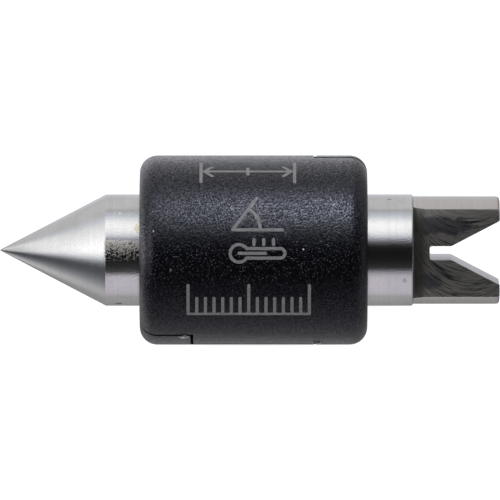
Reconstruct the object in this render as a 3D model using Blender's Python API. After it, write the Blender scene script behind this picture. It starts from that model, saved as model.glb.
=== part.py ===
"""Setting standard for screw-thread micrometers: a 25 mm gauge with a 55 degree cone point at one end
and a 55 degree vee fork at the other, carried in a clip-on grip made of two identical halves.

The gauge lies along X, with its cone point towards -X. The origin is on the gauge's axis, halfway
along the whole length. The fork's milled flats face +Z and -Z. Sizes are in millimetres. A station
is a distance along the axis from the sharp point of the cone, and a height is a distance from the
axis. One half of the grip is modelled facing +Z, and both are then rolled about the axis.
"""

import math

import bmesh
import bpy

MM = 0.001
MERGE = 0.0001
SEGMENTS = 72
SHARP_ANGLE = math.radians(25)

# The gauge's own sizes. The gauge length runs from the sharp point to the sharp root of the vee.
GAUGE_LENGTH = 25.0
HALF_THREAD_ANGLE = math.radians(55 / 2)

# Rod with the cone point
ROD_RADIUS = 6.35 / 2
NOSE_RADIUS = 0.06
CONE_BLEND_RADIUS = 0.5
ROD_END = 23.57
ROD_END_RADIUS = 0.15

# Fork, with its shank fixed in the rod's bore
FORK_RADIUS = 6.13 / 2
FORK_END = 28.49
FORK_END_RADIUS = 0.18
FLAT_THICKNESS = 3.5
FLAT_RELIEF_DEPTH = 0.16
FLAT_RELIEF_LENGTH = 0.7
SLOT_WIDTH = 0.77
SLOT_BOTTOM = 24.51
SLOT_CORNER_RADIUS = 0.12
SHANK_RADIUS = 1.5
SHANK_LENGTH = 5.2
SHANK_CLEARANCE = 0.015
BORE_DEPTH = 5.4
DRILL_HALF_ANGLE = math.radians(118 / 2)
SEAT_GAP = 0.02
LEAD_IN = 0.15

# Grip
GRIP_RADIUS = 10.8 / 2
GRIP_START = 8.03
GRIP_END = 20.98
GRIP_CORNER_RADIUS = 1.0
GRIP_ROLL = math.radians(12.5)
RUNNING_CLEARANCE = 0.06
LAND_LENGTH = 3.4
POCKET_RADIUS = 4.3
SEAM_GAP = 0.13
SEAM_TWIST = math.radians(18)
SEAM_STEP = 3.5
PEG_RADIUS = 0.35
PEG_CLEARANCE = 0.04
PEG_SIDES = 16
PEG_OFFSET = 4.0
PEG_LENGTH = 0.8
PEG_INSET = 2.3

# Rings between the grip and the rod
RING_INSET = 1.15
RING_SECTION_RADIUS = 0.45
RING_SECTION_SIDES = 8
RING_GROOVE_WIDTH = 1.0
ROD_GROOVE_DEPTH = 0.42
RING_SEAT_GAP = 0.02
RING_RUNNING_GAP = 0.06

# Places that follow from the sizes above
POINT = NOSE_RADIUS / math.sin(HALF_THREAD_ANGLE) - NOSE_RADIUS
MIDDLE = (POINT + FORK_END) / 2
GRIP_MIDDLE = (GRIP_START + GRIP_END) / 2
RING_STATIONS = (GRIP_START + RING_INSET, GRIP_END - RING_INSET)
ROD_GROOVE_RADIUS = ROD_RADIUS - ROD_GROOVE_DEPTH
RING_RADIUS = ROD_GROOVE_RADIUS + RING_SEAT_GAP + RING_SECTION_RADIUS
GRIP_GROOVE_RADIUS = RING_RADIUS + RING_SECTION_RADIUS + RING_RUNNING_GAP
GRIP_BORE_RADIUS = ROD_RADIUS + RUNNING_CLEARANCE
CUTTER_REACH = 8.0

STEEL = (0.60, 0.59, 0.58)
FORK_STEEL = (0.45, 0.43, 0.41)
PLASTIC = (0.012, 0.012, 0.013)
RUBBER = (0.020, 0.019, 0.018)


def clear_scene():
    for thing in list(bpy.data.objects):
        bpy.data.objects.remove(thing)


def surface(name, colour, roughness, metallic):
    """A plain Principled material, named after the sub-part that it covers."""
    made = bpy.data.materials.new(name)
    made.use_nodes = True
    shader = made.node_tree.nodes["Principled BSDF"]
    shader.inputs["Base Color"].default_value = (*colour, 1)
    shader.inputs["Roughness"].default_value = roughness
    shader.inputs["Metallic"].default_value = metallic
    return made


def frame(name, roll=0.0):
    """An empty on the gauge's axis, which carries the sub-parts of one rigid body."""
    empty = bpy.data.objects.new(name, None)
    empty.rotation_euler.x = roll
    bpy.context.scene.collection.objects.link(empty)
    return empty


def placed(name, shape, parent=None, made_of=None):
    """The shape as an object in metres, with its faces outward and its round faces smooth."""
    bmesh.ops.recalc_face_normals(shape, faces=shape.faces)
    bmesh.ops.scale(shape, vec=(MM, MM, MM), verts=shape.verts)
    mesh = bpy.data.meshes.new(name)
    shape.to_mesh(mesh)
    shape.free()
    if made_of:
        mesh.materials.append(made_of)
    mesh.shade_smooth()
    mesh.set_sharp_from_angle(angle=SHARP_ANGLE)
    body = bpy.data.objects.new(name, mesh)
    bpy.context.scene.collection.objects.link(body)
    body.parent = parent
    return body


def carve(body, steps):
    """Works each (operation, tool) into the body in turn, then removes the tools."""
    for operation, tool in steps:
        cut = body.modifiers.new(tool.name, "BOOLEAN")
        cut.operation = operation
        cut.object = tool
        tool.hide_render = True
        tool.display_type = "WIRE"
    bpy.context.view_layer.update()
    worked = body.evaluated_get(bpy.context.evaluated_depsgraph_get())
    plain = body.data
    body.data = bpy.data.meshes.new_from_object(worked)
    body.data.name = body.name
    body.data.set_sharp_from_angle(angle=SHARP_ANGLE)
    body.modifiers.clear()
    bpy.data.meshes.remove(plain)
    for _, tool in steps:
        bpy.data.objects.remove(tool)


def arc(station, height, radius, start, end, steps):
    """Points on an arc about (station, height), between two angles in degrees from the +X direction."""
    turns = [math.radians(start + (end - start) * step / steps) for step in range(steps + 1)]
    return [(station + radius * math.cos(turn), height + radius * math.sin(turn)) for turn in turns]


def turned(outline, phase=0.0):
    """A solid of revolution about X. An outline that starts off the axis is joined end to start."""
    shape = bmesh.new()
    points = [shape.verts.new((station - MIDDLE, 0, height)) for station, height in outline]
    edges = [shape.edges.new(ends) for ends in zip(points, points[1:])]
    if outline[0][1] > MERGE:
        edges.append(shape.edges.new((points[-1], points[0])))
    bmesh.ops.spin(
        shape,
        geom=points + edges,
        cent=(0, 0, 0),
        axis=(1, 0, 0),
        angle=2 * math.pi,
        steps=SEGMENTS,
        use_merge=True,
    )
    bmesh.ops.remove_doubles(shape, verts=shape.verts, dist=MERGE)
    turn(shape, phase)
    return shape


def turn(shape, angle):
    """Turns the shape about the gauge's axis."""
    for point in shape.verts:
        _, y, z = point.co
        point.co.y = y * math.cos(angle) - z * math.sin(angle)
        point.co.z = y * math.sin(angle) + z * math.cos(angle)


def prism(name, corners):
    """A tool between two matching rings of corners."""
    shape = bmesh.new()
    near, far = ([shape.verts.new(corner) for corner in ring] for ring in corners)
    shape.faces.new(near)
    shape.faces.new(reversed(far))
    for index in range(len(near)):
        shape.faces.new((near[index - 1], far[index - 1], far[index], near[index]))
    return placed(name, shape)


def cone_point():
    """The rod's outline from the rounded nose along the cone to where its blend meets the cylinder."""
    nose = NOSE_RADIUS / math.sin(HALF_THREAD_ANGLE)
    side = 90 + math.degrees(HALF_THREAD_ANGLE)
    blend_height = ROD_RADIUS - CONE_BLEND_RADIUS
    blend_start = blend_height + CONE_BLEND_RADIUS * math.cos(HALF_THREAD_ANGLE)
    blend = (
        blend_start / math.tan(HALF_THREAD_ANGLE)
        + CONE_BLEND_RADIUS * math.sin(HALF_THREAD_ANGLE)
    )
    return [
        (POINT, 0),
        *arc(nose, 0, NOSE_RADIUS, 180, side, 3)[1:],
        *arc(blend, blend_height, CONE_BLEND_RADIUS, side, 90, 4),
    ]


def groove(station, surface_height, bottom_height):
    """A square groove's outline, in the order of growing station."""
    start, end = station - RING_GROOVE_WIDTH / 2, station + RING_GROOVE_WIDTH / 2
    return [
        (start, surface_height),
        (start, bottom_height),
        (end, bottom_height),
        (end, surface_height),
    ]


def gauge_rod(parent):
    """Hardened rod: cone point, two ring grooves under the grip, and a blind bore for the fork."""
    bore_radius = SHANK_RADIUS + SHANK_CLEARANCE
    bore_bottom = ROD_END - BORE_DEPTH
    corner = ROD_END_RADIUS
    outline = [
        *cone_point(),
        *groove(RING_STATIONS[0], ROD_RADIUS, ROD_GROOVE_RADIUS),
        *groove(RING_STATIONS[1], ROD_RADIUS, ROD_GROOVE_RADIUS),
        *arc(ROD_END - corner, ROD_RADIUS - corner, corner, 90, 0, 3),
        (ROD_END, bore_radius + LEAD_IN),
        (ROD_END - LEAD_IN, bore_radius),
        (bore_bottom, bore_radius),
        (bore_bottom - bore_radius / math.tan(DRILL_HALF_ANGLE), 0),
    ]
    placed("gauge_rod", turned(outline), parent, surface("gauge_rod", STEEL, 0.22, 1.0))


def flat_cutter(name, side):
    """What milling takes off one side of the fork: a flat with a shallow relief by the rod's face."""
    seat = ROD_END + SEAT_GAP
    half = FLAT_THICKNESS / 2
    outline = [
        (seat - 1, half - FLAT_RELIEF_DEPTH),
        (seat, half - FLAT_RELIEF_DEPTH),
        (seat + FLAT_RELIEF_LENGTH, half),
        (FORK_END + 1, half),
        (FORK_END + 1, CUTTER_REACH),
        (seat - 1, CUTTER_REACH),
    ]
    return prism(
        name,
        [[(x - MIDDLE, y, side * z) for x, z in outline] for y in (-CUTTER_REACH, CUTTER_REACH)],
    )


def vee_cutter():
    """The vee and the narrow relief slot at its root, cut right through the fork along Z."""
    half_slot = SLOT_WIDTH / 2
    slope = math.tan(HALF_THREAD_ANGLE)
    mouth = FORK_END + 1
    corner = SLOT_CORNER_RADIUS
    upper = [
        *arc(SLOT_BOTTOM + corner, half_slot - corner, corner, 180, 90, 3),
        (GAUGE_LENGTH + half_slot / slope, half_slot),
        (mouth, (mouth - GAUGE_LENGTH) * slope),
    ]
    outline = upper + [(station, -height) for station, height in reversed(upper)]
    return prism(
        "vee",
        [[(x - MIDDLE, y, z) for x, y in outline] for z in (-CUTTER_REACH, CUTTER_REACH)],
    )


def vee_fork(parent):
    """Fork: a turned blank with a shank, two milled flats, and the vee between its two jaws."""
    seat = ROD_END + SEAT_GAP
    shank_end = ROD_END - SHANK_LENGTH
    corner = FORK_END_RADIUS
    outline = [
        (shank_end, 0),
        (shank_end, SHANK_RADIUS - LEAD_IN),
        (shank_end + LEAD_IN, SHANK_RADIUS),
        (seat, SHANK_RADIUS),
        (seat, FORK_RADIUS),
        *arc(FORK_END - corner, FORK_RADIUS - corner, corner, 90, 0, 4),
        (FORK_END, 0),
    ]
    made_of = surface("vee_fork", FORK_STEEL, 0.35, 1.0)
    fork = placed("vee_fork", turned(outline), parent, made_of)
    carve(
        fork,
        [
            ("DIFFERENCE", flat_cutter("upper_flat", 1)),
            ("DIFFERENCE", flat_cutter("lower_flat", -1)),
            ("DIFFERENCE", vee_cutter()),
        ],
    )


def friction_ring(name, station, parent):
    """Elastomer ring, half in the rod's groove and half in the grip's."""
    outline = arc(station, RING_RADIUS, RING_SECTION_RADIUS, 0, 360, RING_SECTION_SIDES)[:-1]
    placed(name, turned(outline), parent, surface(name, RUBBER, 0.6, 0.0))


def grip_sleeve():
    """The whole grip before it is parted: round ends, a land at each end with a ring groove in its
    bore, and an air pocket between the lands that keeps the hand's warmth from the rod."""
    corner = GRIP_CORNER_RADIUS
    rim = GRIP_RADIUS - corner
    mouth = GRIP_BORE_RADIUS + LEAD_IN
    left_groove, right_groove = (
        groove(station, GRIP_BORE_RADIUS, GRIP_GROOVE_RADIUS) for station in RING_STATIONS
    )
    return [
        (GRIP_START, mouth),
        *arc(GRIP_START + corner, rim, corner, 180, 90, 5),
        *arc(GRIP_END - corner, rim, corner, 90, 0, 5),
        (GRIP_END, mouth),
        (GRIP_END - LEAD_IN, GRIP_BORE_RADIUS),
        *reversed(right_groove),
        (GRIP_END - LAND_LENGTH, GRIP_BORE_RADIUS),
        (GRIP_END - LAND_LENGTH, POCKET_RADIUS),
        (GRIP_START + LAND_LENGTH, POCKET_RADIUS),
        (GRIP_START + LAND_LENGTH, GRIP_BORE_RADIUS),
        *reversed(left_groove),
        (GRIP_START + LEAD_IN, GRIP_BORE_RADIUS),
    ]


def parting_block(name, start, end, tilt):
    """The room below the upper half between two stations, its top face tilted about the axis."""
    face = SEAM_GAP / 2
    outline = [
        (-CUTTER_REACH, face),
        (CUTTER_REACH, face),
        (CUTTER_REACH, -CUTTER_REACH),
        (-CUTTER_REACH, -CUTTER_REACH),
    ]
    block = prism(name, [[(x - MIDDLE, y, z) for y, z in outline] for x in (start, end)])
    block.rotation_euler.x = -tilt
    return block


def peg(name, station, side, low, high, radius):
    """A round tool along Z between two levels, beside the axis."""
    ring = arc(station - MIDDLE, side, radius, 0, 360, PEG_SIDES)[:-1]
    return prism(name, [[(x, y, z) for x, y in ring] for z in (low, high)])


def grip_half(parent):
    """The upper half, parted from the sleeve along a seam that steps twice. Past each step the seam is
    twisted about the axis, so that the half clips over the rod and its tongues key into its twin.
    It has pegs along its +Y edge and the sockets for its twin's pegs along its -Y edge."""
    low_step, high_step = GRIP_MIDDLE - SEAM_STEP, GRIP_MIDDLE + SEAM_STEP
    half_gap = SEAM_GAP / 2
    steps = [
        ("DIFFERENCE", parting_block("left", GRIP_START - 1, low_step + half_gap, SEAM_TWIST)),
        ("DIFFERENCE", parting_block("middle", low_step - half_gap, high_step + half_gap, 0)),
        ("DIFFERENCE", parting_block("right", high_step - half_gap, GRIP_END + 1, -SEAM_TWIST)),
    ]
    for station, twist in (
        (GRIP_START + PEG_INSET, SEAM_TWIST),
        (GRIP_END - PEG_INSET, -SEAM_TWIST),
    ):
        seam = -PEG_OFFSET * math.tan(twist)
        low, high = seam - PEG_LENGTH, seam + PEG_LENGTH
        pin = peg("peg", station, PEG_OFFSET, low, high, PEG_RADIUS)
        low, high = -seam - PEG_LENGTH, -seam + PEG_LENGTH + 2 * PEG_CLEARANCE
        socket = peg("socket", station, -PEG_OFFSET, low, high, PEG_RADIUS + PEG_CLEARANCE)
        steps += [("UNION", pin), ("DIFFERENCE", socket)]
    sleeve = turned(grip_sleeve(), math.pi / SEGMENTS)
    made_of = surface("upper_grip_shell", PLASTIC, 0.42, 0.0)
    half = placed("upper_grip_shell", sleeve, None, made_of)
    carve(half, steps)
    half.parent = parent
    return half


def grip_twin(half, parent):
    """The lower half: the same moulding, turned half a turn about the axis."""
    mesh = half.data.copy()
    mesh.name = "lower_grip_shell"
    mesh.materials[0] = surface("lower_grip_shell", PLASTIC, 0.42, 0.0)
    twin = bpy.data.objects.new("lower_grip_shell", mesh)
    bpy.context.scene.collection.objects.link(twin)
    twin.rotation_euler.x = math.pi
    twin.parent = parent


def build():
    clear_scene()
    gauge = frame("gauge_frame")
    grip = frame("grip_frame", -GRIP_ROLL)
    gauge_rod(gauge)
    vee_fork(gauge)
    friction_ring("left_friction_ring", RING_STATIONS[0], gauge)
    friction_ring("right_friction_ring", RING_STATIONS[1], gauge)
    grip_twin(grip_half(grip), grip)


build()
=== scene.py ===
"""The looks of a setting standard for screw-thread micrometers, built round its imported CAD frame.

X runs along the gauge from its cone point to its fork, and +Z is up, square to the fork's flats. The
camera looks down on the gauge as it lies on its grip. Lengths named here are in millimetres and are
turned into metres by MM where a mesh is made. An angle about the gauge's axis is measured from +Z
towards +Y, in degrees.
"""

import math

import bmesh
import bpy
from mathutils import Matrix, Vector


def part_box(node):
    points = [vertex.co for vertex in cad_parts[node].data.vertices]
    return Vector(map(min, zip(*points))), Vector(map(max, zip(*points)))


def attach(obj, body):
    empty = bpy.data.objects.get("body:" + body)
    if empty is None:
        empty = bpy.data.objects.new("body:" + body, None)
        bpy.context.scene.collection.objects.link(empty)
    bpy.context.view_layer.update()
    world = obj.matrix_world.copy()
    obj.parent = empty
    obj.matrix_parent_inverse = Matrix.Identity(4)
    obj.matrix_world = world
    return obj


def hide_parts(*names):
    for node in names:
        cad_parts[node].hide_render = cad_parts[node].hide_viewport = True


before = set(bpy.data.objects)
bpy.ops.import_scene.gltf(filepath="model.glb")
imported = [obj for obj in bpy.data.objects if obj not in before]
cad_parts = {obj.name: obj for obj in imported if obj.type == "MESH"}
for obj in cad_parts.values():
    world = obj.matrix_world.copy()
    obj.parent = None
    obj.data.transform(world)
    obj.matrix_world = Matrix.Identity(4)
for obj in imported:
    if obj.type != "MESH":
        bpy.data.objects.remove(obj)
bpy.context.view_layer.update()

MM = 0.001

# ---------------------------------------------------------------- sizes read from the frame
rod_low, rod_high = (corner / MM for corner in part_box("gauge_rod"))
_, fork_high = (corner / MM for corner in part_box("vee_fork"))
grip_low, grip_high = (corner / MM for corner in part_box("upper_grip_shell"))

TIP = rod_low.x
ROD_END = rod_high.x
ROD_RADIUS = rod_high.z
FORK_END = fork_high.x
FORK_RADIUS = fork_high.y
FLAT = fork_high.z
GRIP_START = grip_low.x
GRIP_END = grip_high.x
GRIP_RADIUS = (grip_high.z + grip_high.y) / 2
GRIP_MIDDLE = (GRIP_START + GRIP_END) / 2
PRINT_ROOM = 0.01
PLASTIC_RADIUS = GRIP_RADIUS - PRINT_ROOM

# ---------------------------------------------------------------- sizes shared with the CAD design
GAUGE_LENGTH = 25.0
HALF_THREAD_ANGLE = math.radians(55 / 2)
NOSE_RADIUS = 0.06
SHARP_POINT = TIP - NOSE_RADIUS * (1 / math.sin(HALF_THREAD_ANGLE) - 1)
VEE_ROOT = SHARP_POINT + GAUGE_LENGTH
FORK_END_RADIUS = 0.18
RELIEF_DEPTH = 0.16
RELIEF_LENGTH = 0.7
SLOT_HALF_WIDTH = 0.77 / 2
SLOT_BOTTOM = VEE_ROOT - 0.49
SLOT_CORNER_RADIUS = 0.12
BORE_RADIUS = 1.515
BORE_DEPTH = 5.4
HALF_DRILL_ANGLE = math.radians(118 / 2)
GRIP_CORNER_RADIUS = 1.0
GRIP_ROLL = 12.5
GRIP_BORE_RADIUS = ROD_RADIUS + 0.06
GRIP_GROOVE_RADIUS = 3.735
ROD_GROOVE_RADIUS = ROD_RADIUS - 0.42
RING_GROOVE_WIDTH = 1.0
RING_INSET = 1.15
LAND_LENGTH = 3.4
POCKET_RADIUS = 4.3
LEAD_IN = 0.15
SEAM_STEP = 3.5
SEAM_GAP = 0.13

# ---------------------------------------------------------------- sizes of the finish
# The CAD design is plainer here. It has larger roundings on the rod, square edges on the fork, a straight
# relief, and a seam of even width that is turned less.
CONE_EDGE_RADIUS = 0.25
ROD_END_RADIUS = 0.10
FORK_EDGE = 0.018
JAW_TIP_RADIUS = 0.12
RELIEF_POWER = 1.5
SEAM_TWIST = 19.3
SEAM_EDGE = 0.05
WIDE_SEAM = 1.8

# ---------------------------------------------------------------- fineness of the meshes
TURNS = 288
GRIP_STEP = 2.5
GRIP_CORNER_STEPS = 12
EDGE_STEPS = 6
SLOT_CORNER_STEPS = 5
RELIEF_STEPS = 5
FORK_LAYERS = 15

# Faces that meet at more than this many degrees meet in a sharp edge. The fork's limit lies below the
# 22.5 degree steps of its bevelled edges, so that its flats are shaded flat right up to them.
SHARP_ANGLE = 32
FORK_SHARP_ANGLE = 20

# Edges whose faces meet at more than this many degrees are bevelled
FORK_BEVEL_ANGLE = 35
SEAM_BEVEL_ANGLE = 60

# ---------------------------------------------------------------- small helpers


def arc(x, height, radius, start, end, steps):
    """Points on an arc about (x, height), between two angles in degrees from the +X direction."""
    turns = [math.radians(start + (end - start) * step / steps) for step in range(steps + 1)]
    return [(x + radius * math.cos(turn), height + radius * math.sin(turn)) for turn in turns]


def about_axis(x, height, angle):
    """The point at x, at a height from the gauge's axis and an angle about it."""
    turn = math.radians(angle)
    return Vector((x, height * math.sin(turn), height * math.cos(turn)))


def add_object(name, data):
    """An object for a mesh, camera or light, in the scene."""
    thing = bpy.data.objects.new(name, data)
    bpy.context.scene.collection.objects.link(thing)
    return thing


def finished(name, shape, body, material, replaced=(), sharp=SHARP_ANGLE):
    """The millimetre shape as a smooth-shaded piece that rides on a body and stands for CAD nodes."""
    bmesh.ops.recalc_face_normals(shape, faces=shape.faces)
    bmesh.ops.scale(shape, vec=(MM, MM, MM), verts=shape.verts)
    mesh = bpy.data.meshes.new(name)
    shape.to_mesh(mesh)
    shape.free()
    mesh.materials.append(material)
    mesh.shade_smooth()
    mesh.set_sharp_from_angle(angle=math.radians(sharp))
    piece = add_object(name, mesh)
    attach(piece, body)
    if replaced:
        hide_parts(*replaced)
    return piece


def turned(outline):
    """A solid of revolution about X from an outline of (x, height) points that ends on the axis."""
    shape = bmesh.new()
    points = [shape.verts.new((x, 0, height)) for x, height in outline]
    edges = [shape.edges.new(ends) for ends in zip(points, points[1:])]
    bmesh.ops.spin(
        shape,
        geom=points + edges,
        cent=(0, 0, 0),
        axis=(1, 0, 0),
        angle=2 * math.pi,
        steps=TURNS,
        use_merge=True,
    )
    bmesh.ops.remove_doubles(shape, verts=shape.verts, dist=0.0001)
    return shape


# ---------------------------------------------------------------- blemishes

# The frosting beside the grip comes and goes over these stretches of X, and its pitted patch over these
# stretches of angle. Over the last stretch the pits crowd together more and more.
FROST_RISE, FROST_FALL = (SHARP_POINT + 6.0, SHARP_POINT + 6.1), (GRIP_START + 0.5, GRIP_START)
PATCH_RISE, PATCH_FALL = (-9, -2), (16.5, 13.5)
PITS_CROWD = (-3, 13)

# Each is a place along X, an angle about the axis, half-sizes along X and round the axis, a colour
# All are stains except the near-white second one, which is a painted glint
ROD_STAINS_AND_GLINT = (
    (-7.43, -67.4, (0.25, 0.22), (0.10, 0.10, 0.11)),
    # A painted glint, unlike the stains around it
    (-7.35, 46.7, (0.09, 0.07), (1.0, 0.98, 0.96)),
    (-6.38, 28.5, (0.20, 0.38), (0.50, 0.46, 0.38)),
    (8.80, -27.3, (0.17, 0.19), (0.42, 0.41, 0.41)),
    (7.93, 70.7, (0.17, 0.08), (0.22, 0.22, 0.24)),
)
GRIP_SPECKS = (
    (-5.50, 29.8, (0.09, 0.06), (0.55, 0.55, 0.55)),
    (-5.44, 17.1, (0.05, 0.09), (0.30, 0.30, 0.30)),
    (-4.47, -6.7, (0.09, 0.15), (0.06, 0.06, 0.06)),
    (3.04, 6.1, (0.06, 0.06), (0.50, 0.50, 0.50)),
)

# Families of arcs that the end mill left: the half of its circle, 1 for -Y or -1 for +Y, and the spacing
CUTTER_RADIUS = 3.2
CUTTER_ARCS = ((1, 0.075), (1, 0.32), (-1, 0.10))

# Dull patches on the upper flat: a place along X and Y, half-sizes along both, strength, colour
FLAT_PATCHES = (
    ((10.8, 1.55), (2.5, 0.70), 0.85, (0.28, 0.28, 0.33)),
    ((10.2, -1.6), (1.1, 0.62), 0.7, (0.28, 0.28, 0.33)),
)

# Over these stretches a highlight is painted on the flats towards +Y, away from the rod, and painted
# shade beside it
HIGHLIGHT_BAND_Y, HIGHLIGHT_BAND_X = (1.98, 2.25), (ROD_END + 0.6, ROD_END + 1.6)
SHADE_BAND_X = (ROD_END + 0.9, ROD_END + 0.4)

# ---------------------------------------------------------------- material graphs


class Graph:
    """A material's node tree, with one call for each node."""

    def __init__(self, name):
        self.material = bpy.data.materials.new(name)
        self.material.use_nodes = True
        self.tree = self.material.node_tree
        self.shader = self.tree.nodes["Principled BSDF"]

    def node(self, kind, inputs=None, **settings):
        """A node with its settings; each input takes a value or another node's output."""
        made = self.tree.nodes.new("ShaderNode" + kind)
        for setting, value in settings.items():
            setattr(made, setting, value)
        self.fill(made, inputs or {})
        return made

    def fill(self, node, inputs):
        """Gives each input of a node its value, or a link from another node's output."""
        for key, value in inputs.items():
            if isinstance(value, bpy.types.NodeSocket):
                self.tree.links.new(value, node.inputs[key])
            else:
                node.inputs[key].default_value = value

    def math(self, operation, *values):
        """The result of a Math node."""
        return self.node("Math", dict(enumerate(values)), operation=operation).outputs[0]

    def place(self):
        """The point on the piece, in metres, in the CAD frame at rest."""
        return self.node("TexCoord").outputs["Object"]

    def axes(self):
        """The point's x, y and z in millimetres."""
        scaled = self.node("VectorMath", {0: self.place(), "Scale": 1 / MM}, operation="SCALE")
        return self.node("SeparateXYZ", {0: scaled.outputs[0]}).outputs

    def grain(self, size, detail=2.0, roughness=0.5):
        """Noise whose features are this many millimetres in size along x, y and z."""
        sizes = size if isinstance(size, tuple) else (size, size, size)
        scale = tuple(1 / (MM * length) for length in sizes)
        vector = self.node("Mapping", {"Vector": self.place(), "Scale": scale}).outputs["Vector"]
        return self.noise(vector, detail, roughness)

    def noise(self, vector, detail=2.0, roughness=0.5):
        """Noise whose features are about one unit of the vector in size."""
        inputs = {"Vector": vector, "Scale": 1.0, "Detail": detail, "Roughness": roughness}
        return self.node("TexNoise", inputs).outputs["Fac"]

    def between(self, value, low, high, out_low=0.0, out_high=1.0):
        """A value mapped from one range to another, clamped, with soft ends."""
        inputs = {
            "Value": value,
            "From Min": low,
            "From Max": high,
            "To Min": out_low,
            "To Max": out_high,
        }
        return self.node("MapRange", inputs, interpolation_type="SMOOTHSTEP").outputs["Result"]

    def window(self, value, rise, fall):
        """1 where a value lies between two stretches, over which it comes and goes."""
        return self.math("MULTIPLY", self.between(value, *rise), self.between(value, *fall))

    def spot(self, centre, reach, raggedness=0.1):
        """A ragged mark: 1 at the centre, in millimetres, and 0 past its reach along and round X."""
        along, around = reach
        start = self.node("VectorMath", {0: self.place(), 1: centre * MM}, operation="SUBTRACT")
        shrink = tuple(1 / (MM * length) for length in (along, around, around))
        scaled = self.node("VectorMath", {0: start.outputs[0], 1: shrink}, operation="MULTIPLY")
        distance = self.node("VectorMath", {0: scaled.outputs[0]}, operation="LENGTH").outputs["Value"]
        ragged = self.math("MULTIPLY_ADD", self.grain(raggedness, 2), 1.2, distance)
        return self.between(ragged, 1.5, 1.1)

    def blend(self, factor, first, second):
        """One colour fading into another."""
        made = self.node("Mix", {0: factor}, data_type="RGBA")
        for socket, colour in ((made.inputs[6], first), (made.inputs[7], second)):
            if isinstance(colour, bpy.types.NodeSocket):
                self.tree.links.new(colour, socket)
            else:
                socket.default_value = (*colour, 1)
        return made.outputs[2]

    def bump(self, height, distance, normal=None):
        """A bump that is this many millimetres high where the height is 1."""
        inputs = {"Height": height, "Distance": distance * MM, "Strength": 1.0}
        if normal:
            inputs["Normal"] = normal
        return self.node("Bump", inputs).outputs["Normal"]

    def surface(self, **inputs):
        """The material, with its shader's inputs under plain names."""
        names = {
            "colour": "Base Color",
            "roughness": "Roughness",
            "metallic": "Metallic",
            "normal": "Normal",
            "specular": "Specular IOR Level",
            "tint": "Specular Tint",
            "anisotropic": "Anisotropic",
            "rotation": "Anisotropic Rotation",
            "tangent": "Tangent",
        }
        self.fill(self.shader, {names[key]: value for key, value in inputs.items()})
        return self.material


def ground_steel():
    """Hardened steel, ground round the axis, with a pitted frosting between the cone and the grip."""
    graph = Graph("ground_steel")
    x, y, z = graph.axes()
    fine_rings = graph.grain((0.05, 8, 8), 2, 0.6)
    broad_rings = graph.grain((0.35, 20, 20), 2)
    grit = graph.grain(0.06, 1)
    pits = graph.grain(0.085, 1, 0.7)
    clouds = graph.grain(1.6, 3)
    frosted = graph.window(x, FROST_RISE, FROST_FALL)
    angle = graph.math("DEGREES", graph.math("ARCTAN2", y, z))
    patch = graph.math("MULTIPLY", frosted, graph.window(angle, PATCH_RISE, PATCH_FALL))
    pit_depth = graph.math("MULTIPLY_ADD", patch, 2.0, graph.math("MULTIPLY", frosted, 0.6))
    crowded = graph.math("MULTIPLY_ADD", graph.between(angle, *PITS_CROWD), 0.20, pits)
    dull_pits = graph.math("MULTIPLY", patch, graph.between(crowded, 0.55, 0.64))
    height = graph.math("MULTIPLY_ADD", pits, pit_depth, graph.math("MULTIPLY", fine_rings, 0.3))
    height = graph.math("MULTIPLY_ADD", grit, 1.3, height)
    tint = graph.blend(graph.between(clouds, 0.35, 0.65), (0.60, 0.60, 0.605), (0.65, 0.645, 0.645))
    shade = graph.between(graph.math("ADD", fine_rings, broad_rings), 0.75, 1.3, 0.0, 0.3)
    plain = graph.blend(shade, tint, (0.54, 0.535, 0.535))
    speckle = graph.math("MULTIPLY_ADD", frosted, 0.05, 0.15)
    speckle = graph.math("MULTIPLY", speckle, graph.between(graph.grain(0.08, 1), 0.42, 0.62))
    plain = graph.blend(speckle, plain, (0.42, 0.41, 0.41))
    colour = graph.blend(graph.math("MULTIPLY", dull_pits, 0.8), plain, (0.80, 0.75, 0.69))
    # Stains, and one painted glint in near-white
    for along, around, reach, stain_and_glint_colour in ROD_STAINS_AND_GLINT:
        mask = graph.spot(about_axis(along, ROD_RADIUS, around), reach)
        colour = graph.blend(mask, colour, stain_and_glint_colour)
    return graph.surface(
        colour=colour,
        metallic=1.0,
        roughness=graph.math("MULTIPLY_ADD", dull_pits, 0.40, 0.14),
        anisotropic=0.6,
        rotation=0.25,
        tangent=graph.node("Tangent", direction_type="RADIAL", axis="X").outputs[0],
        normal=graph.bump(height, 0.004),
    )


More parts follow.
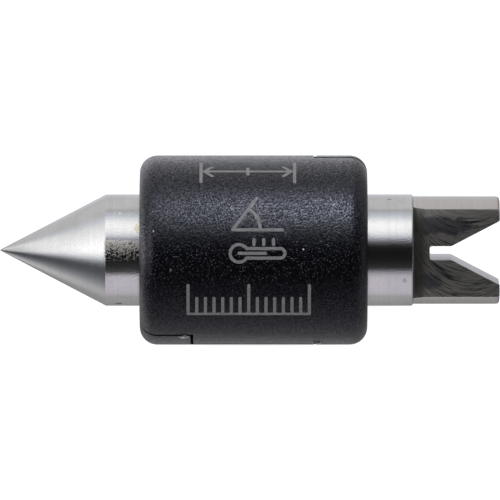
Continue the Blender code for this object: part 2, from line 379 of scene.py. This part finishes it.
def milled_steel():
    """The fork's steel: arcs left by an end mill on the flats, satin turning marks on its edges."""
    graph = Graph("milled_steel")
    x, y, _ = graph.axes()
    off_centre = graph.math("SUBTRACT", x, ROD_END + CUTTER_RADIUS)
    squares = graph.math("SUBTRACT", CUTTER_RADIUS**2, graph.math("MULTIPLY", off_centre, off_centre))
    drop = graph.math("SQRT", graph.math("MAXIMUM", squares, 0.0))
    marks = []
    for direction, spacing in CUTTER_ARCS:
        travel = graph.math("MULTIPLY_ADD", drop, direction, y)
        streak = graph.node(
            "CombineXYZ",
            {
                "X": graph.math("MULTIPLY", travel, 1 / spacing),
                "Y": graph.math("MULTIPLY", x, 0.5),
                "Z": direction * 3.0 + spacing,
            },
        )
        marks.append(graph.noise(streak.outputs[0], 4, 0.75))
    fine, coarse, crossed = marks
    arcs = graph.math("MULTIPLY_ADD", coarse, 0.27, graph.math("MULTIPLY", fine, 0.58))
    arcs = graph.math("MULTIPLY_ADD", crossed, 0.22, arcs)
    blotches = graph.grain((1.1, 0.5, 2.0), 3, 0.6)
    hatch = graph.grain((0.06, 3, 3), 2)
    normal = graph.node("TexCoord").outputs["Normal"]
    facing = graph.math("ABSOLUTE", graph.node("SeparateXYZ", {0: normal}).outputs["Z"])
    flat = graph.between(facing, 0.9, 0.96)
    height = graph.node("Mix", {0: flat, 2: graph.math("MULTIPLY", hatch, 0.6), 3: arcs}).outputs[0]
    steel = graph.blend(graph.between(blotches, 0.35, 0.65), (0.86, 0.835, 0.78), (0.99, 0.96, 0.90))
    for (along, across), reach, strength, dull in FLAT_PATCHES:
        mask = graph.spot(Vector((along, across, FLAT)), reach, 0.5)
        steel = graph.blend(graph.math("MULTIPLY", mask, strength), steel, dull)
    lines = graph.math("MULTIPLY_ADD", coarse, 0.22, graph.math("MULTIPLY", fine, 0.78))
    milled = graph.blend(graph.between(lines, 0.39, 0.53), (0.07, 0.07, 0.075), steel)
    # A painted highlight near the flats' +Y edge, then painted shade beside the rod's face
    across, along = graph.between(y, *HIGHLIGHT_BAND_Y, 0.0, 0.5), graph.between(x, *HIGHLIGHT_BAND_X)
    light = graph.math("MULTIPLY", across, along)
    milled = graph.blend(light, milled, (0.98, 0.93, 0.86))
    milled = graph.blend(graph.between(x, *SHADE_BAND_X, 0.0, 0.8), milled, (0.27, 0.27, 0.235))
    satin = graph.blend(graph.between(hatch, 0.3, 0.7), (0.55, 0.515, 0.505), (0.59, 0.56, 0.55))
    return graph.surface(
        colour=graph.blend(flat, satin, milled),
        metallic=1.0,
        roughness=graph.node("Mix", {0: flat, 2: 0.3, 3: 0.34}).outputs[0],
        normal=graph.bump(height, 0.016),
    )


def moulded_plastic():
    """Black plastic with the fine spark-eroded texture of its mould, and a few specks of dust."""
    graph = Graph("moulded_plastic")
    sparks = graph.grain(0.080, 1, 0.6)
    clouds = graph.grain(3.0, 2)
    peaks = graph.between(graph.grain(0.093, 0), 0.58, 0.80)
    height = graph.math("MULTIPLY_ADD", peaks, 0.95, sparks)
    colour = graph.blend(clouds, (0.0007, 0.0007, 0.0011), (0.0014, 0.0014, 0.0022))
    for along, around, reach, dust in GRIP_SPECKS:
        mask = graph.spot(about_axis(along, PLASTIC_RADIUS, around), reach)
        colour = graph.blend(mask, colour, dust)
    return graph.surface(
        colour=colour,
        specular=graph.between(sparks, 0.38, 0.64, 0.20, 0.90),
        tint=(0.83, 0.84, 1.0, 1),
        roughness=graph.between(sparks, 0.3, 0.7, 0.27, 0.20),
        normal=graph.bump(height, 0.020),
    )


def painted_glint_plastic():
    """The same plastic, flecked with light grey that is a painted glint."""
    graph = Graph("painted_glint_plastic")
    glint_flecks = graph.grain(0.12, 2)
    return graph.surface(
        # The light grey flecks are a painted glint
        colour=graph.blend(graph.between(glint_flecks, 0.4, 0.6), (0.02, 0.02, 0.021), (0.42, 0.42, 0.43)),
        roughness=0.3,
        normal=graph.bump(glint_flecks, 0.03),
    )


def printed_ink():
    """Light grey marking ink, a little uneven where it sits on the texture."""
    graph = Graph("printed_ink")
    patches = graph.grain(0.1, 2)
    return graph.surface(
        colour=graph.blend(graph.between(patches, 0.3, 0.7), (0.10, 0.10, 0.105), (0.17, 0.17, 0.175)),
        roughness=0.5,
        normal=graph.bump(patches, 0.01),
    )


def ring_rubber():
    """Black elastomer with a dusty bloom."""
    graph = Graph("ring_rubber")
    bloom = graph.grain(0.7, 3)
    return graph.surface(
        colour=graph.blend(bloom, (0.012, 0.012, 0.012), (0.03, 0.029, 0.028)),
        roughness=graph.between(bloom, 0.3, 0.7, 0.5, 0.7),
        normal=graph.bump(bloom, 0.01),
    )


# ---------------------------------------------------------------- the gauge


def ring_groove(x, surface, bottom):
    """A square groove for a rubber ring, centred on x."""
    start, end = x - RING_GROOVE_WIDTH / 2, x + RING_GROOVE_WIDTH / 2
    return [(start, surface), (start, bottom), (end, bottom), (end, surface)]


def make_rod(material):
    """The rod: nose, cone, its lightly broken edge, two ring grooves, and the fork's blind bore."""
    nose = SHARP_POINT + NOSE_RADIUS / math.sin(HALF_THREAD_ANGLE)
    side = 90 + math.degrees(HALF_THREAD_ANGLE)
    edge = CONE_EDGE_RADIUS
    blend_height = ROD_RADIUS - edge
    blend_start = blend_height + edge * math.cos(HALF_THREAD_ANGLE)
    blend = (
        SHARP_POINT
        + blend_start / math.tan(HALF_THREAD_ANGLE)
        + edge * math.sin(HALF_THREAD_ANGLE)
    )
    corner = ROD_END_RADIUS
    bore_bottom = ROD_END - BORE_DEPTH
    outline = [
        (TIP, 0),
        *arc(nose, 0, NOSE_RADIUS, 180, side, EDGE_STEPS)[1:],
        *arc(blend, blend_height, edge, side, 90, EDGE_STEPS),
        *ring_groove(GRIP_START + RING_INSET, ROD_RADIUS, ROD_GROOVE_RADIUS),
        *ring_groove(GRIP_END - RING_INSET, ROD_RADIUS, ROD_GROOVE_RADIUS),
        *arc(ROD_END - corner, ROD_RADIUS - corner, corner, 90, 0, EDGE_STEPS),
        (ROD_END, BORE_RADIUS + LEAD_IN),
        (ROD_END - LEAD_IN, BORE_RADIUS),
        (bore_bottom, BORE_RADIUS),
        (bore_bottom - BORE_RADIUS / math.tan(HALF_DRILL_ANGLE), 0),
    ]
    return finished("rod_with_cone", turned(outline), "gauge", material, ["gauge_rod"])


def fork_radius(x):
    """The turned radius of the fork, rounded off at its end."""
    past = x - (FORK_END - FORK_END_RADIUS)
    if past <= 0:
        return FORK_RADIUS
    return FORK_RADIUS - FORK_END_RADIUS + math.sqrt(max(FORK_END_RADIUS**2 - past**2, 0))


def flat_level(x):
    """How high the milled flat lies above the axis, with its relief beside the rod's face."""
    along = min((x - ROD_END) / RELIEF_LENGTH, 1)
    return FLAT - RELIEF_DEPTH * (1 - along) ** RELIEF_POWER


def vee_side():
    """One side of the slot and the vee, from the middle of the slot's bottom to the jaw's tip."""
    slope = math.tan(HALF_THREAD_ANGLE)
    corner, tip = SLOT_CORNER_RADIUS, JAW_TIP_RADIUS
    turn = math.degrees(HALF_THREAD_ANGLE)
    tip_x = FORK_END - tip
    tip_y = (tip_x - VEE_ROOT) * slope + tip / math.cos(HALF_THREAD_ANGLE)
    return [
        (SLOT_BOTTOM, 0),
        *arc(SLOT_BOTTOM + corner, SLOT_HALF_WIDTH - corner, corner, 180, 90, SLOT_CORNER_STEPS),
        (VEE_ROOT + SLOT_HALF_WIDTH / slope, SLOT_HALF_WIDTH),
        *arc(tip_x, tip_y, tip, turn - 90, 0, EDGE_STEPS),
    ]


def make_fork(material):
    """The fork, built up in level layers: each is the vee's outline between two curved outer edges."""
    relief = [ROD_END + RELIEF_LENGTH * step / RELIEF_STEPS for step in range(RELIEF_STEPS + 1)]
    corner = FORK_END_RADIUS
    rounding = [x for x, _ in arc(FORK_END - corner, 0, corner, 90, 0, EDGE_STEPS)]
    rim = relief + rounding
    inner = vee_side()
    inner_loop = [(x, -y) for x, y in reversed(inner)][:-1] + inner
    shape = bmesh.new()
    rings = []
    for layer in range(FORK_LAYERS + 1):
        share = 2 * layer / FORK_LAYERS - 1
        near, far = [], []
        for x in rim:
            z = share * flat_level(x)
            y = math.sqrt(fork_radius(x) ** 2 - z**2)
            near.append((x, -y, z))
            far.append((x, y, z))
        middle = [(x, y, share * flat_level(x)) for x, y in inner_loop]
        rings.append([shape.verts.new(point) for point in near + middle + far[::-1]])
    count = len(rings[0])
    for lower, upper in zip(rings, rings[1:]):
        for index in range(count):
            shape.faces.new((lower[index - 1], lower[index], upper[index], upper[index - 1]))
    for ring in (rings[0], rings[-1]):
        for index in range(len(relief) - 1):
            shape.faces.new((ring[index], ring[index + 1], ring[-index - 2], ring[-index - 1]))
        shape.faces.new(ring[len(relief) - 1 : 1 - len(relief)])
    bmesh.ops.recalc_face_normals(shape, faces=shape.faces)
    limit = math.radians(FORK_BEVEL_ANGLE)
    sharp = [edge for edge in shape.edges if edge.calc_face_angle() > limit]
    bmesh.ops.bevel(
        shape,
        geom=sharp,
        offset=FORK_EDGE,
        segments=2,
        profile=0.5,
        affect="EDGES",
        clamp_overlap=True,
    )
    return finished(
        "forked_anvil", shape, "gauge", material, ["vee_fork"], FORK_SHARP_ANGLE
    )


# ---------------------------------------------------------------- the grip


def grip_outline():
    """The grip's section as (x, outer height) and (x, inner height) points, both from end to end."""
    corner = GRIP_CORNER_RADIUS
    rim = PLASTIC_RADIUS - corner
    mouth = GRIP_BORE_RADIUS + LEAD_IN
    outer = [
        (GRIP_START, mouth),
        *arc(GRIP_START + corner, rim, corner, 180, 90, GRIP_CORNER_STEPS),
        *arc(GRIP_END - corner, rim, corner, 90, 0, GRIP_CORNER_STEPS),
        (GRIP_END, mouth),
    ]
    inner = [
        (GRIP_START, mouth),
        (GRIP_START + LEAD_IN, GRIP_BORE_RADIUS),
        *ring_groove(GRIP_START + RING_INSET, GRIP_BORE_RADIUS, GRIP_GROOVE_RADIUS),
        (GRIP_START + LAND_LENGTH, GRIP_BORE_RADIUS),
        (GRIP_START + LAND_LENGTH, POCKET_RADIUS),
        (GRIP_END - LAND_LENGTH, POCKET_RADIUS),
        (GRIP_END - LAND_LENGTH, GRIP_BORE_RADIUS),
        *ring_groove(GRIP_END - RING_INSET, GRIP_BORE_RADIUS, GRIP_GROOVE_RADIUS),
        (GRIP_END - LEAD_IN, GRIP_BORE_RADIUS),
        (GRIP_END, mouth),
    ]
    return outer, inner


def height_at(line, x):
    """The height of a line at x."""
    for (x0, h0), (x1, h1) in zip(line, line[1:]):
        if x0 <= x < x1:
            return h0 + (h1 - h0) * (x - x0) / (x1 - x0)
    return line[-1][1]


def clipped(line, start, end):
    """The part of a line between two stations, with a point on each."""
    inside = [point for point in line if start < point[0] < end]
    first = [line[0]] if start <= line[0][0] else [(start, height_at(line, start))]
    if start == line[0][0] == line[1][0]:
        first = line[:2]
    last = line[-1] if end >= line[-1][0] else (end, height_at(line, end))
    return [*first, *inside, last]


class Half:
    """One half of the grip. It is a row of blocks along X, each turned through its own span of angle,
    so that the seam steps where one span gives way to the next."""

    def __init__(self, roll):
        self.roll = roll
        self.shape = bmesh.new()
        self.corners = {}
        self.outer_points = set()
        self.outer, self.inner = grip_outline()
        half_gap = SEAM_GAP / 2
        narrow = math.degrees(half_gap / PLASTIC_RADIUS)
        low, high = GRIP_MIDDLE - SEAM_STEP, GRIP_MIDDLE + SEAM_STEP
        self.spans = (
            (GRIP_START, low - half_gap, -90 + SEAM_TWIST, 90 + SEAM_TWIST),
            (low - half_gap, low + half_gap, -90 + SEAM_TWIST, 90),
            (low + half_gap, high - half_gap, -90, 90),
            (high - half_gap, high + half_gap, -90, 90 - SEAM_TWIST),
            (high + half_gap, GRIP_END, -90 - SEAM_TWIST, 90 - SEAM_TWIST),
        )
        twists = (-SEAM_TWIST, 0, SEAM_TWIST)
        self.marks = sorted({side * 90 + twist for side in (-1, 1) for twist in twists})
        by_fork = (90 - SEAM_TWIST, -90 - SEAM_TWIST)
        self.gaps = {mark: narrow * (WIDE_SEAM if mark in by_fork else 1) for mark in self.marks}
        self.angles = [self.marks[0]]
        for start, mark in zip(self.marks, self.marks[1:]):
            steps = round((mark - start) / GRIP_STEP)
            self.angles += [start + (mark - start) * step / steps for step in range(1, steps + 1)]

    def corner(self, x, height, angle):
        """One vertex for each place. On the seam it is pulled back by half the gap."""
        turn = angle
        if angle in self.gaps:
            turn += self.gaps[angle] if angle < 0 else -self.gaps[angle]
        key = (round(x, 5), round(height, 5), round(angle, 4))
        if key not in self.corners:
            point = self.shape.verts.new(about_axis(x, height, turn + self.roll))
            self.corners[key] = point
        return self.corners[key]

    def within(self, low, high):
        """The angles of the mesh from low to high."""
        return [angle for angle in self.angles if low - 0.001 <= angle <= high + 0.001]

    def wall(self, line, low, high):
        """Faces along a line, turned through a span."""
        angles = self.within(low, high)
        for (x0, h0), (x1, h1) in zip(line, line[1:]):
            for a0, a1 in zip(angles, angles[1:]):
                self.face(
                    self.corner(x0, h0, a0),
                    self.corner(x1, h1, a0),
                    self.corner(x1, h1, a1),
                    self.corner(x0, h0, a1),
                )

    def face(self, *ring):
        """A face through a ring of vertices, of which some may be the same."""
        points = [point for point, after in zip(ring, ring[1:] + ring[:1]) if point is not after]
        if len(points) > 2:
            self.shape.faces.new(points)

    def built(self):
        """The closed shape: each block's walls, then the steps between blocks, then soft outer edges."""
        outer_edge_points = set()
        for start, end, low, high in self.spans:
            outer, inner = clipped(self.outer, start, end), clipped(self.inner, start, end)
            self.wall(outer, low, high)
            self.wall(inner, low, high)
            for angle in (low, high):
                loop = [self.corner(x, height, angle) for x, height in outer + inner[::-1]]
                self.face(*loop)
            for x, height in outer:
                outer_edge_points |= {self.corner(x, height, a) for a in self.within(low, high)}
        for (_, x, low, high), (_, _, next_low, next_high) in zip(self.spans, self.spans[1:]):
            top, bottom = height_at(self.outer, x), height_at(self.inner, x)
            for first, second in ((low, next_low), (high, next_high)):
                angles = self.within(min(first, second), max(first, second))
                for a0, a1 in zip(angles, angles[1:]):
                    self.face(
                        self.corner(x, top, a0),
                        self.corner(x, bottom, a0),
                        self.corner(x, bottom, a1),
                        self.corner(x, top, a1),
                    )
        bmesh.ops.recalc_face_normals(self.shape, faces=self.shape.faces)
        limit = math.radians(SEAM_BEVEL_ANGLE)
        seam = [
            edge
            for edge in self.shape.edges
            if set(edge.verts) <= outer_edge_points and edge.calc_face_angle() > limit
        ]
        bmesh.ops.bevel(
            self.shape,
            geom=seam,
            offset=SEAM_EDGE,
            segments=3,
            profile=0.5,
            affect="EDGES",
            clamp_overlap=True,
        )
        return self.shape


def make_half(name, roll, material, node):
    """One half of the grip, rolled about the axis, which stands for one CAD shell."""
    return finished(name, Half(roll).built(), "grip", material, [node])


# Stubs left by the mould's gates: place along X, angle, half-sizes along, across and out of the grip
GATE_STUBS = ((-3.72, -60.4, 0.30, 0.14, 0.09), (3.84, -72.5, 0.32, 0.14, 0.09))


def make_stub(name, stub, material):
    """A small flattened ball, half sunk in the grip."""
    x, angle, along, across, out = stub
    shape = bmesh.new()
    bmesh.ops.create_icosphere(shape, subdivisions=3, radius=1)
    turn = math.radians(angle)
    outward = Vector((0, math.sin(turn), math.cos(turn)))
    sideways = Vector((0, math.cos(turn), -math.sin(turn)))
    middle = about_axis(x, PLASTIC_RADIUS, angle)
    for point in shape.verts:
        flat_x, flat_y, flat_z = point.co
        point.co = (
            middle
            + Vector((1, 0, 0)) * flat_x * along
            + sideways * flat_y * across
            + outward * flat_z * out
        )
    finished(name, shape, "grip", material)


# ---------------------------------------------------------------- marks printed on the grip

STROKE = 0.18
INK_HEIGHT = 0.006
INK_DEPTH = 0.02
CAP_STEPS = 6
STROKE_STEP = 0.15

# Successive strokes rise by one step and start again after a few, so that crossing strokes don't flicker
INK_STEP = 0.0004
INK_LEVELS = 5


def stroke_outline(start, end, width):
    """A straight stroke with round ends: rows of left and right points along it."""
    along = (end - start).normalized()
    across = Vector((-along.y, along.x))
    rows = []
    length = (end - start).length
    half = width / 2
    for step in range(CAP_STEPS):
        turn = math.radians(90 * (step + 0.5) / CAP_STEPS)
        rows.append((-half * math.cos(turn), half * math.sin(turn)))
    pieces = max(1, math.ceil(length / STROKE_STEP))
    rows += [(length * piece / pieces, half) for piece in range(pieces + 1)]
    for step in reversed(range(CAP_STEPS)):
        turn = math.radians(90 * (step + 0.5) / CAP_STEPS)
        rows.append((length + half * math.cos(turn), half * math.sin(turn)))
    return [
        (start + along * at - across * reach, start + along * at + across * reach) for at, reach in rows
    ]


def add_band(shape, rows, angle, lift):
    """A thin closed band of ink through rows of paired points, wrapped round the grip."""
    levels = []
    for height in (PLASTIC_RADIUS - INK_DEPTH, PLASTIC_RADIUS + INK_HEIGHT + lift):
        levels.append(
            [
                [
                    shape.verts.new(about_axis(p.x, height, angle + math.degrees(p.y / PLASTIC_RADIUS)))
                    for p in row
                ]
                for row in rows
            ]
        )
    lower, upper = levels
    for index in range(len(rows) - 1):
        for level in levels:
            shape.faces.new((*level[index], *reversed(level[index + 1])))
        for side in (0, 1):
            shape.faces.new(
                (
                    lower[index][side],
                    lower[index + 1][side],
                    upper[index + 1][side],
                    upper[index][side],
                )
            )
    for end in (0, -1):
        shape.faces.new((*lower[end], *reversed(upper[end])))


def polyline(*points):
    """The straight strokes of a path."""
    corners = [Vector(point) for point in points]
    return list(zip(corners, corners[1:]))


def circle(x, y, radius, start, end, steps):
    """The straight strokes of a part of a circle."""
    return polyline(*arc(x, y, radius, start, end, steps))


def length_mark():
    """A dimension line: two end bars, a line with two arrowheads, and a short middle tick."""
    half, bar, head = 2.65, 0.95, 0.45
    strokes = polyline((-half, 0), (half, 0)) + polyline((0, -0.3), (0, 0.3))
    for side in (-1, 1):
        strokes += polyline((side * half, -bar), (side * half, bar))
        tip = side * (half - STROKE)
        strokes += polyline((tip - side * head, head), (tip, 0), (tip - side * head, -head))
    return strokes


def angle_mark():
    """The usual sign for an angle: a level leg, a leg at the thread angle, and an arc between them."""
    turn = 2 * math.degrees(HALF_THREAD_ANGLE)
    root = (-1.35, -0.95)
    raised = arc(*root, 2.4, turn, turn, 1)[0]
    level = (root[0] + 2.8, root[1])
    return polyline(level, root, raised) + circle(*root, 1.55, 0, turn, 8)


def temperature_mark():
    """A thermometer on its side: bulb, stem with a round end, its column and three ticks."""
    bulb, stem, reach = 0.5, 0.27, 1.55
    strokes = circle(-reach + bulb, 0, bulb, 33, 327, 20)
    for side in (-1, 1):
        strokes += polyline((-reach + 2 * bulb - 0.08, side * stem), (reach - stem, side * stem))
    strokes += circle(reach - stem, 0, stem, -90, 90, 8)
    strokes += polyline((-reach + bulb, 0), (0.45, 0))
    for tick in (-0.2, 0.35, 0.9):
        strokes += polyline((tick, stem + 0.22), (tick, stem + 0.5))
    return strokes


def scale_mark():
    """A short ruler: a base line under a row of graduations, tall at both ends and in the middle."""
    count, pitch, base = 15, 0.49, -0.95
    half = pitch * (count - 1) / 2
    strokes = polyline((-half, base), (half, base))
    for tick in range(count):
        height = 1.9 if tick % (count // 2) == 0 else 1.1
        x = -half + pitch * tick
        strokes += polyline((x, base), (x, base + height))
    return strokes


# Each line of print: its middle along the gauge, its angle about the axis, and its drawing
PRINT_LINES = (
    (-0.1, 61.3, length_mark),
    (0.4, 28.0, angle_mark),
    (0.45, 3.7, temperature_mark),
    (-0.05, -26.3, scale_mark),
)


def make_print(material):
    """Plain drawn marks on the printed half, which stand where the real grip has its lettering."""
    for x, angle, drawing in PRINT_LINES:
        shape = bmesh.new()
        for number, (start, end) in enumerate(drawing()):
            shift = Vector((x, 0))
            rows = stroke_outline(start + shift, end + shift, STROKE)
            add_band(shape, rows, angle, INK_STEP * (number % INK_LEVELS))
        name = "printed_" + drawing.__name__
        finished(name, shape, "grip", material)


# ---------------------------------------------------------------- camera, floor and light

CAMERA_DISTANCE = 700.0
CAMERA_LEAN = math.radians(5.7)
VIEW_WIDTH = 28.464
VIEW_MIDDLE = 0.023
FLOOR_REACH = 3000.0
FLOOR_GLOW = 0.6
SKY_LEVELS = (0.25, 1.75)


def make_camera():
    """A long lens above the gauge, leaning a little past the vertical towards +Y, with +Y up."""
    data = bpy.data.cameras.new("camera")
    data.sensor_width = 36.0
    data.lens = data.sensor_width * CAMERA_DISTANCE / VIEW_WIDTH
    data.clip_start, data.clip_end = 0.01, 10.0
    camera = add_object("camera", data)
    back = Vector((0, math.sin(CAMERA_LEAN), math.cos(CAMERA_LEAN)))
    camera.location = (back * CAMERA_DISTANCE + Vector((VIEW_MIDDLE, 0, 0))) * MM
    camera.rotation_euler = (-CAMERA_LEAN, 0, 0)
    bpy.context.scene.camera = camera


def make_floor():
    """A pale light table that touches the underside of the grip."""
    graph = Graph("pale_floor")
    graph.surface(colour=(0.9, 0.9, 0.9, 1), roughness=0.9, specular=0.0)
    graph.shader.inputs["Emission Color"].default_value = (1, 1, 1, 1)
    graph.shader.inputs["Emission Strength"].default_value = FLOOR_GLOW
    reach = FLOOR_REACH * MM
    corners = [(-reach, -reach), (reach, -reach), (reach, reach), (-reach, reach)]
    mesh = bpy.data.meshes.new("floor")
    mesh.from_pydata([(x, y, -GRIP_RADIUS * MM) for x, y in corners], [], [(0, 1, 2, 3)])
    mesh.materials.append(graph.material)
    floor = add_object("floor", mesh)
    floor.visible_glossy = False


NEUTRAL, COOL, LILAC = (1, 1, 1), (0.93, 0.97, 1.05), (1.03, 0.97, 1.05)
BROWN = (1.1, 1.0, 0.92)

# The light tent's brightness and tint by angle about the axis. Over the gauge it has a dark gap above,
# where the camera stands, a window with one thin bar on the +Y side, and grey card on the -Y side.
OVER = (
    (-180, 0.32, NEUTRAL), (-150, 0.33, NEUTRAL), (-128, 0.42, NEUTRAL), (-112, 0.50, NEUTRAL),
    (-90, 0.42, LILAC), (-70, 0.34, LILAC), (-54, 0.22, LILAC), (-40, 0.08, LILAC),
    (-28, 0.035, NEUTRAL), (-10, 0.012, NEUTRAL), (12, 0.014, NEUTRAL), (18, 0.05, NEUTRAL),
    (26, 0.35, COOL), (33, 0.95, COOL), (43, 1.36, NEUTRAL), (56, 1.52, NEUTRAL),
    (64, 1.42, NEUTRAL), (77, 0.95, COOL), (86, 0.76, COOL), (92.2, 0.74, NEUTRAL),
    (92.8, 0.32, BROWN), (94.2, 0.32, BROWN), (94.8, 0.78, NEUTRAL), (148, 0.72, NEUTRAL),
    (164, 0.80, COOL), (180, 0.78, COOL),
)
# Off the cone's end there is a bright window above, which the cone reflects
OFF_CONE = (
    (-180, 0.8, NEUTRAL), (-134, 0.85, NEUTRAL), (-104, 0.66, NEUTRAL), (-80, 0.30, COOL),
    (-62, 0.14, COOL), (-42, 0.10, COOL), (-30, 0.26, COOL), (-18, 0.95, COOL),
    (-6, 1.55, NEUTRAL), (8, 1.80, NEUTRAL), (24, 1.66, NEUTRAL), (46, 1.38, NEUTRAL),
    (72, 1.12, NEUTRAL), (86, 0.88, COOL), (98, 0.74, NEUTRAL), (165, 0.74, NEUTRAL),
    (180, 0.7, NEUTRAL),
)
# Past that window is dark card, which keeps the grip black seen from the fork's end, and light below
CARD_OFF_CONE = (
    (-180, 1.4, NEUTRAL), (-130, 0.1, NEUTRAL), (75, 0.08, NEUTRAL), (110, 0.4, NEUTRAL),
    (140, 1.4, NEUTRAL), (160, 3.4, NEUTRAL), (180, 2.8, NEUTRAL),
)
# The far end beyond the cone is bright all round
FAR_CONE = (
    (-180, 3.9, NEUTRAL), (-60, 2.8, COOL), (-22, 3.6, COOL), (8, 3.9, COOL), (40, 3.9, COOL),
    (75, 3.9, NEUTRAL), (180, 3.9, NEUTRAL),
)
# Off the fork's end the tent is dark above and dim elsewhere
OFF_FORK = (
    (-180, 0.12, NEUTRAL), (-140, 0.3, NEUTRAL), (-90, 0.4, LILAC), (-50, 0.25, LILAC),
    (-30, 0.04, NEUTRAL), (30, 0.03, NEUTRAL), (48, 0.25, COOL), (90, 0.5, NEUTRAL),
    (140, 0.45, NEUTRAL), (180, 0.12, NEUTRAL),
)
# Each of these takes over from what lies nearer the gauge between two stations along X
TENT_ZONES = (
    ((-32.0, -52.0), OFF_CONE),
    ((-104.0, -126.0), CARD_OFF_CONE),
    ((-280.0, -360.0), FAR_CONE),
    ((18.0, 42.0), OFF_FORK),
)
TENT_RADIUS = 60.0
TENT_REACH = 400.0
TENT_SIDES = 72
TENT_STRENGTH = 4.0

# Strip lights inside the tent for some pieces only: angle about the axis, start along X, brightness
STEEL_STRIPS = (
    (-97, -36, 0.20), (-89, -36, 0.30), (-81, -36, 0.35), (-73, -36, 0.40), (-65, -36, 0.44),
    (-57, -36, 0.50), (-49, -36, 0.52), (-41, 0, 0.35),
)
STEEL_STRIP_TINT, STEEL_STRIP_END = (1.0, 0.955, 1.05), 24.0
PLASTIC_STRIPS = (
    (-144, -36, 0.3), (-130, -36, 0.2), (44, 2, 8.0), (52, 2, 11.0), (60, 2, 10.0), (68, 2, 4.0),
    (124, -36, 0.6), (140, -36, 0.9), (156, -36, 0.9),
)
PLASTIC_STRIP_TINT, PLASTIC_STRIP_END = (0.95, 0.97, 1.05), 11.0
STRIP_RADIUS = 56.0
STRIP_TURN = 8.0


def ramp(graph, share, stops):
    """The brightness and tint at an angle, as a share of the tent's strength: a ramp holds at most 1."""
    made = graph.node("ValToRGB", {"Fac": share})
    marks = made.color_ramp.elements
    while len(marks) < len(stops):
        marks.new(0.5)
    for mark, (angle, level, tint) in zip(marks, stops):
        mark.position = (angle + 180) / 360
        mark.color = (*(level * part / TENT_STRENGTH for part in tint), 1)
    return made.outputs["Color"]


def make_tent():
    """The tent, a closed many-sided tube round the gauge's axis that only reflections see."""
    graph = Graph("light_tent")
    graph.tree.nodes.remove(graph.shader)
    x, y, z = graph.axes()
    angle = graph.math("ARCTAN2", y, z)
    share = graph.math("MULTIPLY_ADD", angle, 0.5 / math.pi, 0.5)
    colour = ramp(graph, share, OVER)
    for stations, stops in TENT_ZONES:
        colour = graph.blend(graph.between(x, *stations), colour, ramp(graph, share, stops))
    glow = graph.node("Emission", {"Color": colour, "Strength": TENT_STRENGTH})
    output = graph.tree.nodes["Material Output"]
    graph.tree.links.new(glow.outputs[0], output.inputs["Surface"])
    sides = TENT_SIDES
    points, faces = [], []
    for end in (-TENT_REACH, TENT_REACH):
        points += [about_axis(end, TENT_RADIUS, 360 * side / sides) * MM for side in range(sides)]
    for side in range(sides):
        after = (side + 1) % sides
        faces.append((side, after, sides + after, sides + side))
    faces += [tuple(range(sides)), tuple(range(sides, 2 * sides))]
    mesh = bpy.data.meshes.new("light_tent")
    mesh.from_pydata(points, [], faces)
    mesh.materials.append(graph.material)
    tent = add_object("light_tent", mesh)
    tent.visible_camera = False
    tent.visible_diffuse = False
    tent.visible_shadow = False
    tent.visible_transmission = False


def make_strips(name, strips, end, tint, lit):
    """Strip lights along X that only reflections see, and that light only the given pieces."""
    receivers = bpy.data.collections.new(name + "_receivers")
    for piece in lit:
        receivers.objects.link(piece)
    width = STRIP_RADIUS * math.radians(STRIP_TURN)
    for angle, start, level in strips:
        data = bpy.data.lights.new(name, "AREA")
        data.shape = "RECTANGLE"
        data.size = (end - start) * MM
        data.size_y = width * MM
        data.color = tint
        data.energy = level * math.pi * data.size * data.size_y
        strip = add_object(name, data)
        strip.location = about_axis((start + end) / 2, STRIP_RADIUS, angle) * MM
        strip.rotation_euler = (math.radians(-angle), 0, 0)
        strip.visible_camera = False
        strip.visible_diffuse = False
        strip.light_linking.receiver_collection = receivers


def make_world():
    """White light that reflections don't see, dim from -Y and bright from +Y."""
    world = bpy.data.worlds.new("studio")
    world.use_nodes = True
    tree = world.node_tree
    direction = tree.nodes.new("ShaderNodeTexCoord").outputs["Generated"]
    split = tree.nodes.new("ShaderNodeSeparateXYZ")
    level = tree.nodes.new("ShaderNodeMapRange")
    ends = (-1, 1, *SKY_LEVELS)
    for socket, value in zip(("From Min", "From Max", "To Min", "To Max"), ends):
        level.inputs[socket].default_value = value
    sky = tree.nodes["Background"]
    sky.inputs["Color"].default_value = (1, 1, 1, 1)
    tree.links.new(direction, split.inputs[0])
    tree.links.new(split.outputs["Y"], level.inputs["Value"])
    tree.links.new(level.outputs["Result"], sky.inputs["Strength"])
    world.cycles_visibility.glossy = False
    bpy.context.scene.world = world
    bpy.context.scene.view_settings.view_transform = "Standard"


def main():
    make_camera()
    make_world()
    make_floor()
    plastic, rubber = moulded_plastic(), ring_rubber()
    rod = make_rod(ground_steel())
    fork = make_fork(milled_steel())
    upper = make_half("grip_half_printed", GRIP_ROLL, plastic, "upper_grip_shell")
    lower = make_half("grip_half_plain", GRIP_ROLL + 180, plastic, "lower_grip_shell")
    # The gate stubs carry a painted glint in light grey
    stub_glint_plastic = painted_glint_plastic()
    for name, stub in zip(("gate_stub_by_cone", "gate_stub_by_fork"), GATE_STUBS):
        make_stub(name, stub, stub_glint_plastic)
    make_print(printed_ink())
    rings = [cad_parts[name] for name in ("left_friction_ring", "right_friction_ring")]
    for ring in rings:
        ring.data.materials.clear()
        ring.data.materials.append(rubber)
    make_tent()
    gauge_pieces, grip_pieces = [rod, fork, *rings], [upper, lower]
    make_strips("steel_strip", STEEL_STRIPS, STEEL_STRIP_END, STEEL_STRIP_TINT, gauge_pieces)
    make_strips("plastic_strip", PLASTIC_STRIPS, PLASTIC_STRIP_END, PLASTIC_STRIP_TINT, grip_pieces)


main()
bpy.context.view_layer.update()
